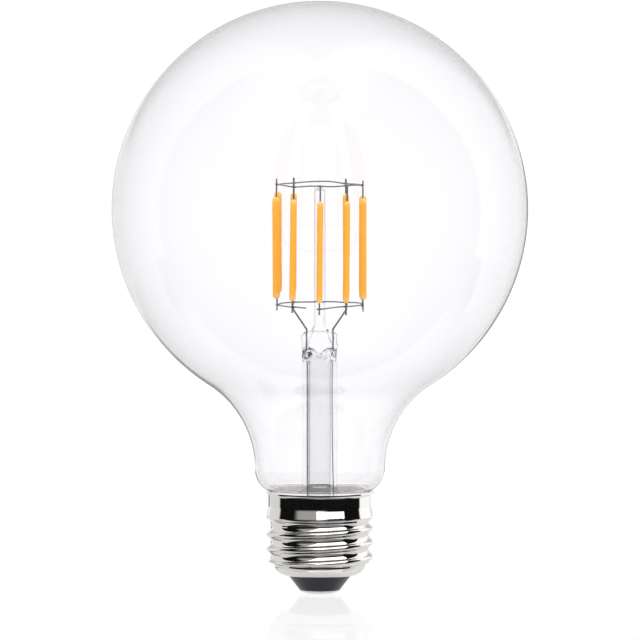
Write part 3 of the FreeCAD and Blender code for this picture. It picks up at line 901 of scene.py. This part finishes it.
def globe_glass():
    """Blown globe, neck and sleeve with an even wall."""
    centre = Vector((0, globe_high.z - GLOBE_RADIUS))
    neck = centre.y - GLOBE_RISE
    blend = (NECK_RADIUS**2 + GLOBE_RISE**2 - GLOBE_RADIUS**2) / (2 * (GLOBE_RADIUS - NECK_RADIUS))
    neck_centre = Vector((NECK_RADIUS + blend, neck))
    shoulder_centre = Vector((NECK_RADIUS - SHOULDER_ROUNDING, neck))
    toward_neck = (neck_centre - centre).normalized()
    fold_reach = SLEEVE_RADIUS + FOLD_ROUNDING - shoulder_centre.x
    fold_drop = math.sqrt((SHOULDER_ROUNDING + FOLD_ROUNDING) ** 2 - fold_reach**2)
    fold_centre = shoulder_centre + Vector((fold_reach, -fold_drop))
    toward_fold = (fold_centre - shoulder_centre).normalized()

    def corners(inset):
        joint = centre + toward_neck * (GLOBE_RADIUS - inset)
        fold = shoulder_centre + toward_fold * (SHOULDER_ROUNDING - inset)
        return SLEEVE_RADIUS - inset, joint, fold

    sleeve, joint, fold = corners(0)
    pen = Outline(0, globe_high.z)
    pen.arc(*joint, centre, GLOBE_ARC_STEPS)
    pen.arc(NECK_RADIUS, neck, neck_centre, NECK_ARC_STEPS)
    pen.arc(*fold, shoulder_centre, SHOULDER_ARC_STEPS)
    pen.arc(sleeve, fold_centre.y, fold_centre, FOLD_ARC_STEPS)
    pen.line(sleeve, globe_low.z, SLEEVE_STEPS)
    sleeve, joint, fold = corners(GLASS_WALL)
    pen.line(sleeve, globe_low.z)
    pen.line(sleeve, fold_centre.y, SLEEVE_STEPS)
    pen.arc(*fold, fold_centre, FOLD_ARC_STEPS)
    pen.arc(NECK_RADIUS - GLASS_WALL, neck, shoulder_centre, SHOULDER_ARC_STEPS)
    pen.arc(*joint, neck_centre, NECK_ARC_STEPS)
    pen.arc(0, globe_high.z - GLASS_WALL, centre, GLOBE_ARC_STEPS)
    mesh = pen.turned(GLOBE_STEPS)
    return make_piece("globe_glass", mesh, clear_glass, ["glass_envelope"])


def mount_skin():
    """Post, press and flared stem from outside, and the inside of the stem around the exhaust tube."""
    bore = STEM_RADIUS - STEM_WALL
    bend = (STEM_RADIUS + FLARE_ROUNDING, STEM_SEAT + FLARE_ROUNDING)
    spread = POST_FOOT_RADIUS - POST_RADIUS
    sweep = (spread**2 + POST_FOOT_HEIGHT**2) / (2 * spread)
    post_round = post_high.z - POST_RADIUS
    press_edge = STEM_RADIUS - PRESS_ROUNDING
    press_round = PRESS_TOP - PRESS_ROUNDING
    shoulder = PRESS_FOOT - STEM_SHOULDER
    tip = exhaust_low.z
    pen = Outline(0, post_high.z)
    pen.arc(POST_RADIUS, post_round, (0, post_round), POST_TIP_STEPS)
    pen.line(POST_RADIUS, POST_FOOT_TOP, POST_STEPS)
    pen.arc(POST_FOOT_RADIUS, PRESS_TOP, (POST_RADIUS + sweep, POST_FOOT_TOP), POST_FOOT_STEPS)
    pen.line(press_edge, PRESS_TOP, PRESS_TOP_STEPS)
    pen.arc(STEM_RADIUS, press_round, (press_edge, press_round), PRESS_ARC_STEPS)
    pen.line(STEM_RADIUS, shoulder, PRESS_STEPS)
    pen.line(STEM_RADIUS, bend[1], STEM_STEPS)
    pen.arc(bend[0], STEM_SEAT, bend, FLARE_ARC_STEPS)
    pen.line(SLEEVE_RADIUS, STEM_SEAT)
    pen.line(SLEEVE_RADIUS, stem_low.z)
    pen.line(bend[0], stem_low.z)
    pen.arc(bore, bend[1], bend, FLARE_ARC_STEPS)
    pen.line(bore, shoulder, STEM_STEPS)
    pen.line(EXHAUST_RADIUS, PRESS_FOOT, STEM_SHOULDER_STEPS)
    pen.line(EXHAUST_RADIUS, tip + EXHAUST_RADIUS, EXHAUST_STEPS)
    pen.arc(0, tip, (0, tip + EXHAUST_RADIUS), EXHAUST_TIP_STEPS)
    return pen.turned(MOUNT_STEPS)


def exhaust_bore():
    """Hollow of the exhaust tube, facing inwards, with a drop-shaped end in the press."""
    hollow = EXHAUST_RADIUS - EXHAUST_WALL
    funnel_top = PRESS_FOOT + BORE_FUNNEL_RISE
    drop_centre = funnel_top + math.sqrt(BORE_DROP_ROUNDING**2 - BORE_FUNNEL_RADIUS**2)
    foot = STEM_SEAT + BORE_FOOT_RISE
    dome = (hollow**2 + BORE_FOOT_DOME**2) / (2 * BORE_FOOT_DOME)
    pen = Outline(0, foot)
    pen.arc(hollow, foot + BORE_FOOT_DOME, (0, foot + dome), BORE_FOOT_STEPS)
    pen.line(hollow, PRESS_FOOT - BORE_FUNNEL_DEPTH, BORE_STEPS)
    pen.line(BORE_FUNNEL_RADIUS, funnel_top, BORE_FUNNEL_STEPS)
    pen.arc(0, drop_centre - BORE_DROP_ROUNDING, (0, drop_centre), BORE_DROP_STEPS)
    mesh = pen.turned(MOUNT_STEPS)
    bmesh.ops.reverse_faces(mesh, faces=mesh.faces)
    return mesh


def press_half_thickness(across, share):
    """Half thickness of the press: a bell of glass under the post, with thinner ears beside it."""
    bell = HUB_FOOT_HALF_WIDTH + (HUB_TOP_HALF_WIDTH - HUB_FOOT_HALF_WIDTH) * share
    beside = ease(abs(across), bell - HUB_EDGE, bell + HUB_EDGE)
    return HUB_HALF_THICKNESS + (EAR_HALF_THICKNESS - HUB_HALF_THICKNESS) * beside


def melt_press(mesh):
    """Flatten the press, let its foot sag and give it the lumps of melted glass."""
    shoulder = PRESS_FOOT - STEM_SHOULDER
    for vert in mesh.verts:
        height = vert.co.z
        if height < shoulder:
            continue
        fade = 1 - ease(height, PRESS_TOP, POST_FOOT_TOP)
        start = PRESS_FOOT - PRESS_SAG * (1 - ease(abs(vert.co.x), 0, PRESS_SAG_HALF_WIDTH))
        pressed = ease(height, start, start + PRESS_TAPER) * fade
        half = press_half_thickness(vert.co.x, ramp(height, PRESS_FOOT, PRESS_TOP))
        vert.co.y *= 1 - (1 - half / STEM_RADIUS) * pressed
        melted = ease(height, shoulder, PRESS_FOOT) * fade
        for size, depth in PRESS_RIPPLES:
            vert.co += noise.noise_vector(vert.co / size) * (depth * melted)


def stem_mount():
    """Flared stem, exhaust tube and post, melted into one piece at the press."""
    mesh = mount_skin()
    add_mesh(mesh, exhaust_bore())
    melt_press(mesh)
    nodes = ["stem_flare", "exhaust_tube", "support_post"]
    return make_piece("stem_mount", mesh, stem_glass, nodes)


# Filament cage


def stick_axis(node):
    """Centres of the lowest and the highest ring of points of a CAD node, in millimetres."""
    places = [vert.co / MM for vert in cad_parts[node].data.vertices]
    low = min(place.z for place in places)
    high = max(place.z for place in places)
    ends = []
    for level in (low, high):
        ring = [place for place in places if abs(place.z - level) < FILAMENT_TIP_RADIUS / 2]
        ends.append(sum(ring, Vector()) / len(ring))
    return ends


def filament_stick(number):
    """Phosphor stick between the ends of its CAD node, a little uneven as it is poured by hand."""
    node = f"filament_{number}"
    low, high = [end + FILAMENT_SHIFTS.get(number, Vector()) for end in stick_axis(node)]
    length = (high - low).length
    narrowing = FILAMENT_RADIUS - FILAMENT_TIP_RADIUS
    sweep = (narrowing**2 + FILAMENT_TIP_LENGTH**2) / (2 * narrowing)
    centre = FILAMENT_RADIUS - sweep
    bottom = FILAMENT_TIP_LENGTH
    top = length - FILAMENT_TIP_LENGTH
    pen = Outline(0, 0)
    pen.line(FILAMENT_TIP_RADIUS, 0)
    pen.arc(FILAMENT_RADIUS, bottom, (centre, bottom), FILAMENT_TIP_STEPS)
    pen.line(FILAMENT_RADIUS, top, FILAMENT_LENGTH_STEPS)
    pen.arc(FILAMENT_TIP_RADIUS, length, (centre, top), FILAMENT_TIP_STEPS)
    pen.line(0, length)
    mesh = pen.turned(FILAMENT_STEPS)
    tip_share = mesh.verts.layers.float.new("tip_share")
    for vert in mesh.verts:
        from_end = min(vert.co.z, length - vert.co.z)
        vert[tip_share] = 1 - ramp(from_end, 0, 2 * FILAMENT_TIP_LENGTH)
        ripple = noise.noise(Vector((number * length, 0, 0)) + vert.co / FILAMENT_RIPPLE_SIZE)
        vert.co.xy *= 1 + FILAMENT_RIPPLE * ripple
        vert.co.x *= FILAMENT_DEPTH_SHARE
    middle = (low + high) / 2
    outward = Matrix.Rotation(math.atan2(middle.y, middle.x), 4, "Z")
    lean = Z_AXIS.rotation_difference(high - low).to_matrix().to_4x4()
    bmesh.ops.transform(mesh, matrix=Matrix.Translation(low) @ lean @ outward, verts=mesh.verts)
    return make_piece(f"phosphor_stick_{number}", mesh, phosphor, [node])


def cage_ring(name, node, ends, bend, closed=False):
    """Hand-bent ring wire, a little wavy, with a weld nugget at each filament tab."""
    low, high = node_span(node)
    level = (low.z + high.z) / 2
    first, last = ends
    bend_angle, bend_reach, bend_depth = bend
    count = round((last - first) / RING_POINT_ANGLE)
    points = []
    swell = []
    for step in range(count if closed else count + 1):
        angle = first + (last - first) * step / count
        place = polar(RING_RADIUS, angle, level)
        wave = RING_WAVE * noise.noise(place / RING_WAVE_SIZE)
        wave += bend_depth * (1 - ease(turn_between(angle, bend_angle), 0, bend_reach))
        points.append(place + Z_AXIS * wave)
        nearest = min(turn_between(angle, tab) for tab in TAB_ANGLES)
        swell.append(1 + WELD_SWELL * (1 - ease(nearest, 0, WELD_ANGLE)))
    mesh = wire_mesh(points, RING_WIRE_RADIUS, swell, closed)
    return make_piece(name, mesh, wire_metal, [node])


def lead_wire(name, node, side, lean, stem_share):
    """Lead from the board through the press, thinner in the stem, bent out to a lower ring."""
    ring = (lower_ring_low.z + lower_ring_high.z) / 2
    kink = Vector((side * LEAD_OFFSET, 0, PRESS_TOP + LEAD_RISE))
    weld = polar(LEAD_REACH, side * LEAD_ANGLE, ring - LEAD_HOOK)
    outward = (weld - kink).normalized()
    points = [
        Vector((side * LEAD_OFFSET, 0, node_span(node)[0].z)),
        Vector((side * (LEAD_STEM_OFFSET + 2 * lean), 0, stem_low.z + FLARE_ROUNDING / 2)),
        Vector((side * (LEAD_STEM_OFFSET + lean), 0, stem_low.z + FLARE_ROUNDING)),
        Vector((side * LEAD_STEM_OFFSET, 0, (stem_low.z + PRESS_FOOT) / 2)),
        Vector((side * LEAD_STEM_OFFSET, 0, PRESS_FOOT - STEM_SHOULDER)),
        Vector((side * LEAD_OFFSET, 0, PRESS_FOOT + STEM_SHOULDER)),
        kink - Z_AXIS * LEAD_BEND,
        kink,
        kink + outward * LEAD_BEND,
        weld - outward * LEAD_BEND,
        weld,
        weld + Z_AXIS * (LEAD_HOOK + LEAD_END),
    ]
    swell = [stem_share if place.z < PRESS_FOOT else 1.0 for place in points]
    mesh = wire_mesh(points, LEAD_WIRE_RADIUS, swell)
    return make_piece(name, mesh, wire_metal, [node])


# Scene

# Levels and edges of the room that polished surfaces mirror, with azimuths from the front
ROOM_LEVEL = 1.06
FRONT_LEVEL = 0.006
CEILING_LEVEL = 0.45
CEILING_AZIMUTH = math.radians(-20)
CEILING_HALF_WIDTH = math.radians(26)
CEILING_HEIGHT = math.radians(0)
CEILING_SOFTNESS = math.radians(15)
ZENITH_LEVEL = 0.7
ZENITH_HEIGHT = math.radians(60)
WALL_AZIMUTH = math.radians(97)
WALL_SOFTNESS = math.radians(6)
LEFT_WALL_LEVEL = 0.84
RIGHT_WALL_LEVEL = 1.25
STRIP_LEVEL = 0.1
STRIP_AZIMUTH = math.radians(151)
RIM_LEVELS = {-1: 0.8, 1: 0.12}
RIM_AZIMUTH = math.radians(156)
RIM_SOFTNESS = math.radians(18)
RIM_TOP_LEVEL = 0.6
BACK_AZIMUTH = math.radians(174)
HORIZON = math.radians(2)
HORIZON_SOFTNESS = math.radians(3)

# Table, in metres, with painted shade that only polished surfaces mirror: a painted shadow under the
# tip, a dark front, a dark strip and a dark line
STAGE_RADIUS = 0.31
FLOOR_LEVEL = 1.0
FLOOR_MIRRORED_LEVEL = 0.9
FLOOR_FRONT_START = 0.0145
FLOOR_FRONT_END = 0.0195
FLOOR_FAR_START = 0.09
FLOOR_FAR_END = 0.16
FLOOR_TIP_SHADOW_LEVEL = 0.7
FLOOR_TIP_SHADOW_START = 0.002
FLOOR_TIP_SHADOW_END = 0.006
FLOOR_LINE_LEVEL = 0.3
FLOOR_LINE_AZIMUTH = math.radians(80)
FLOOR_LINE_START = 0.022
FLOOR_LINE_END = 0.034
FLOOR_LINE_SOFTNESS = 0.004
FLOOR_GLOSS = 0.16
FLOOR_GLOSS_REACH = 0.21
FLOOR_GLOSS_ROUGHNESS = 0.04

# Softbox and camera, with lengths in metres and the softbox's azimuth in degrees
SOFTBOX_AZIMUTH = 25.0
SOFTBOX_ELEVATION = math.radians(46)
SOFTBOX_DISTANCE = 0.9
SOFTBOX_WIDTH = 1.3
SOFTBOX_HEIGHT = 1.3
SOFTBOX_LEVEL = 2.0
CAMERA_ELEVATION = math.radians(3.5)
CAMERA_DISTANCE = 1.8
CAMERA_LENS = 409.0
CAMERA_CLIP_START = 0.01
CAMERA_AIM = Vector((0.00005, 0, 0.0679))


def mirrored_side(shader, azimuth):
    """0 in the dim front of what polished surfaces mirror, 1 at the sides and behind."""
    return shader.step(abs(azimuth), WALL_AZIMUTH, WALL_AZIMUTH + WALL_SOFTNESS)


def mirrored_back(shader, azimuth):
    """1 behind and 0 at the sides and in front."""
    return shader.step(abs(azimuth), RIM_AZIMUTH - RIM_SOFTNESS, RIM_AZIMUTH)


def mirrored_walls(shader, azimuth):
    """Level of the mirrored walls: left and right differ and are the same behind."""
    walls = shader.step(azimuth, -WALL_AZIMUTH, WALL_AZIMUTH, LEFT_WALL_LEVEL, RIGHT_WALL_LEVEL)
    return walls + mirrored_back(shader, azimuth) * (1 - walls)


def mirrored_strip(shader, azimuth, start, softness):
    """1 from an azimuth on and 0 again straight behind, where left and right meet."""
    fade = shader.step(azimuth, BACK_AZIMUTH, math.pi, 1.0, 0.0)
    return fade * shader.step(azimuth, start, start + softness)


def table_finish():
    """Pale table that glows evenly, mirrors the tip faintly and is open from below. What polished
    surfaces mirror of it is painted shade: a shadow under the tip, the levels of the room's walls, a
    dark strip, a dark line and a dark front.
    """
    material, shader = new_finish("pale_table")
    right, back = shader.axes(shader.place())[:2]
    reach = shader.maths("SQRT", right * right + back * back)
    azimuth = shader.maths("ARCTAN2", right, -1.0 * back)
    # Far out, polished surfaces mirror painted levels of the room's walls and a painted dark strip
    strip = mirrored_strip(shader, -1.0 * azimuth, STRIP_AZIMUTH, WALL_SOFTNESS)
    walls = mirrored_walls(shader, azimuth)
    # Painted shadow under the tip, seen only in what polished surfaces mirror
    painted_tip_shadow = shader.step(reach, FLOOR_TIP_SHADOW_START, FLOOR_TIP_SHADOW_END, FLOOR_TIP_SHADOW_LEVEL, FLOOR_MIRRORED_LEVEL)
    far = shader.step(reach, FLOOR_FAR_START, FLOOR_FAR_END)
    lit = painted_tip_shadow + far * (walls + strip * (STRIP_LEVEL - walls) - painted_tip_shadow)
    # Painted dark line, seen only in what polished surfaces mirror
    line = shader.step(reach, FLOOR_LINE_START, FLOOR_LINE_START + FLOOR_LINE_SOFTNESS)
    line = line * shader.step(reach, FLOOR_LINE_END, FLOOR_LINE_END + FLOOR_LINE_SOFTNESS, 1.0, 0.0)
    line = line * mirrored_strip(shader, -1.0 * azimuth, FLOOR_LINE_AZIMUTH, RIM_SOFTNESS)
    lit = lit + line * (FLOOR_LINE_LEVEL - lit)
    # Painted dark front, seen only in what polished surfaces mirror
    painted_front_shade = shader.step(-1.0 * back, FLOOR_FRONT_START, FLOOR_FRONT_END)
    front = shader.maths("MAXIMUM", painted_front_shade, far * (1 - mirrored_side(shader, azimuth)))
    mirrored = lit + front * (FRONT_LEVEL - lit)
    level = FLOOR_LEVEL + shader.mirrored_ray() * (mirrored - FLOOR_LEVEL)
    glow = shader.add("ShaderNodeEmission", sockets={"Color": WHITE, "Strength": level})
    mirror_sockets = {"Color": WHITE, "Roughness": FLOOR_GLOSS_ROUGHNESS}
    mirror = shader.add("ShaderNodeBsdfGlossy", sockets=mirror_sockets)
    gloss = shader.step(reach, 0.0, FLOOR_GLOSS_REACH, FLOOR_GLOSS, 0.0)
    from_below = shader.add("ShaderNodeNewGeometry", output="Backfacing")
    open_side = shader.add("ShaderNodeBsdfTransparent")
    shader.finish(shader.layers(from_below, shader.layers(gloss, glow, mirror), open_side))
    return material


def floor_disc():
    """Round table under the tip."""
    mesh = bmesh.new()
    bmesh.ops.create_circle(mesh, cap_ends=True, radius=STAGE_RADIUS, segments=TURNED_STEPS)
    data = bpy.data.meshes.new("table")
    mesh.to_mesh(data)
    mesh.free()
    data.materials.append(table_finish())
    table = bpy.data.objects.new("table", data)
    scene.collection.objects.link(table)


def studio_room():
    """White room, which polished surfaces mirror as bright walls behind a dim front."""
    world = bpy.data.worlds.new("studio_room")
    scene.world = world
    shader = Shader(world)
    right, back, up = shader.axes(shader.add("ShaderNodeTexCoord", output="Generated"))
    azimuth = shader.maths("ARCTAN2", right, -1.0 * back)
    height = shader.maths("ARCSINE", up)
    ceiling_side = abs(azimuth - CEILING_AZIMUTH)
    ceiling_edge = CEILING_HALF_WIDTH + CEILING_SOFTNESS
    ceiling = shader.step(height, CEILING_HEIGHT, CEILING_HEIGHT + CEILING_SOFTNESS)
    ceiling = ceiling * shader.step(ceiling_side, CEILING_HALF_WIDTH, ceiling_edge, 1.0, 0.0)
    front = FRONT_LEVEL + CEILING_LEVEL * ceiling
    zenith = shader.step(height, ZENITH_HEIGHT, ZENITH_HEIGHT + CEILING_SOFTNESS)
    front = front + zenith * (ZENITH_LEVEL - front)
    walls = mirrored_walls(shader, azimuth)
    behind = walls
    for side, rim_level in RIM_LEVELS.items():
        rim = mirrored_strip(shader, side * azimuth, RIM_AZIMUTH, RIM_SOFTNESS)
        behind = behind - rim * (1 - rim_level)
    above_horizon = shader.step(height, HORIZON - HORIZON_SOFTNESS, HORIZON)
    behind = behind + above_horizon * (walls - behind)
    overhead = shader.step(height, HORIZON + HORIZON_SOFTNESS, HORIZON + 2 * HORIZON_SOFTNESS)
    rim_top = mirrored_back(shader, azimuth) * overhead
    behind = ROOM_LEVEL * (behind + rim_top * (RIM_TOP_LEVEL - 1))
    mirrored = front + mirrored_side(shader, azimuth) * (behind - front)
    level = ROOM_LEVEL + shader.mirrored_ray() * (mirrored - ROOM_LEVEL)
    background = shader.add("ShaderNodeBackground", sockets={"Color": level, "Strength": 1.0})
    shader.add("ShaderNodeOutputWorld", sockets={"Surface": background})


def softbox(aim, unlit):
    """Large soft light, high at the front right, that leaves some pieces out."""
    light = bpy.data.lights.new("softbox", "AREA")
    light.shape = "RECTANGLE"
    light.size = SOFTBOX_WIDTH
    light.size_y = SOFTBOX_HEIGHT
    light.energy = SOFTBOX_LEVEL * math.pi * SOFTBOX_WIDTH * SOFTBOX_HEIGHT
    lamp = bpy.data.objects.new("softbox", light)
    flat = SOFTBOX_DISTANCE * math.cos(SOFTBOX_ELEVATION)
    offset = polar(flat, SOFTBOX_AZIMUTH, SOFTBOX_DISTANCE * math.sin(SOFTBOX_ELEVATION))
    lamp.location = aim + offset
    lamp.rotation_euler = (-offset).to_track_quat("-Z", "Y").to_euler()
    lamp.visible_camera = False
    lamp.visible_transmission = False
    linked = bpy.data.collections.new("softbox_links")
    for piece in unlit:
        linked.objects.link(piece)
    for link in linked.collection_objects:
        link.light_linking.link_state = "EXCLUDE"
    lamp.light_linking.receiver_collection = linked
    scene.collection.objects.link(lamp)


def photo_camera():
    """Long lens, level with the cap and a little above it."""
    data = bpy.data.cameras.new("camera")
    data.lens = CAMERA_LENS
    data.clip_start = CAMERA_CLIP_START
    camera = bpy.data.objects.new("camera", data)
    toward = Vector((0, -math.cos(CAMERA_ELEVATION), math.sin(CAMERA_ELEVATION)))
    camera.location = CAMERA_AIM + toward * CAMERA_DISTANCE
    camera.rotation_euler = (-toward).to_track_quat("-Z", "Y").to_euler()
    scene.collection.objects.link(camera)
    scene.camera = camera


# Finishes of the CAD pieces that stay as they are

kept_finishes = {
    "driver_board": board,
    "smoothing_capacitor": can,
    "bridge_rectifier": package,
    "driver_chip": package,
    "fuse_resistor": resistor,
    "tip_wire": hookup,
    "shell_wire": hookup,
}
for number in range(1, ANCHOR_COUNT + 1):
    kept_finishes[f"anchor_wire_{number}"] = anchor_metal
for number in range(1, FILAMENT_COUNT + 1):
    kept_finishes[f"upper_tab_{number}"] = tab_metal
    kept_finishes[f"lower_tab_{number}"] = tab_metal
for node, finish in kept_finishes.items():
    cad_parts[node].data.materials[0] = finish

# Pieces that take the place of CAD nodes

screw_cap()
contact_plate()
insulator_cone()
cement_collar()
glass_pieces = [globe_glass(), stem_mount()]
for number in range(1, FILAMENT_COUNT + 1):
    filament_stick(number)
cage_ring("top_ring", "upper_ring", TOP_RING_ENDS, TOP_RING_BEND, closed=True)
cage_ring("right_ring", "lower_ring_right", RIGHT_RING_ENDS, RIGHT_RING_BEND)
cage_ring("left_ring", "lower_ring_left", LEFT_RING_ENDS, LEFT_RING_BEND)
lead_wire("left_lead", "lead_wire_left", -1, LEFT_LEAD_LEAN, LEFT_LEAD_STEM_SHARE)
lead_wire("right_lead", "lead_wire_right", 1, RIGHT_LEAD_LEAN, RIGHT_LEAD_STEM_SHARE)
for piece in glass_pieces:
    piece.visible_shadow = False

# Stage, light and camera

floor_disc()
studio_room()
softbox(CAMERA_AIM, glass_pieces)
photo_camera()
scene.view_settings.view_transform = "Standard"
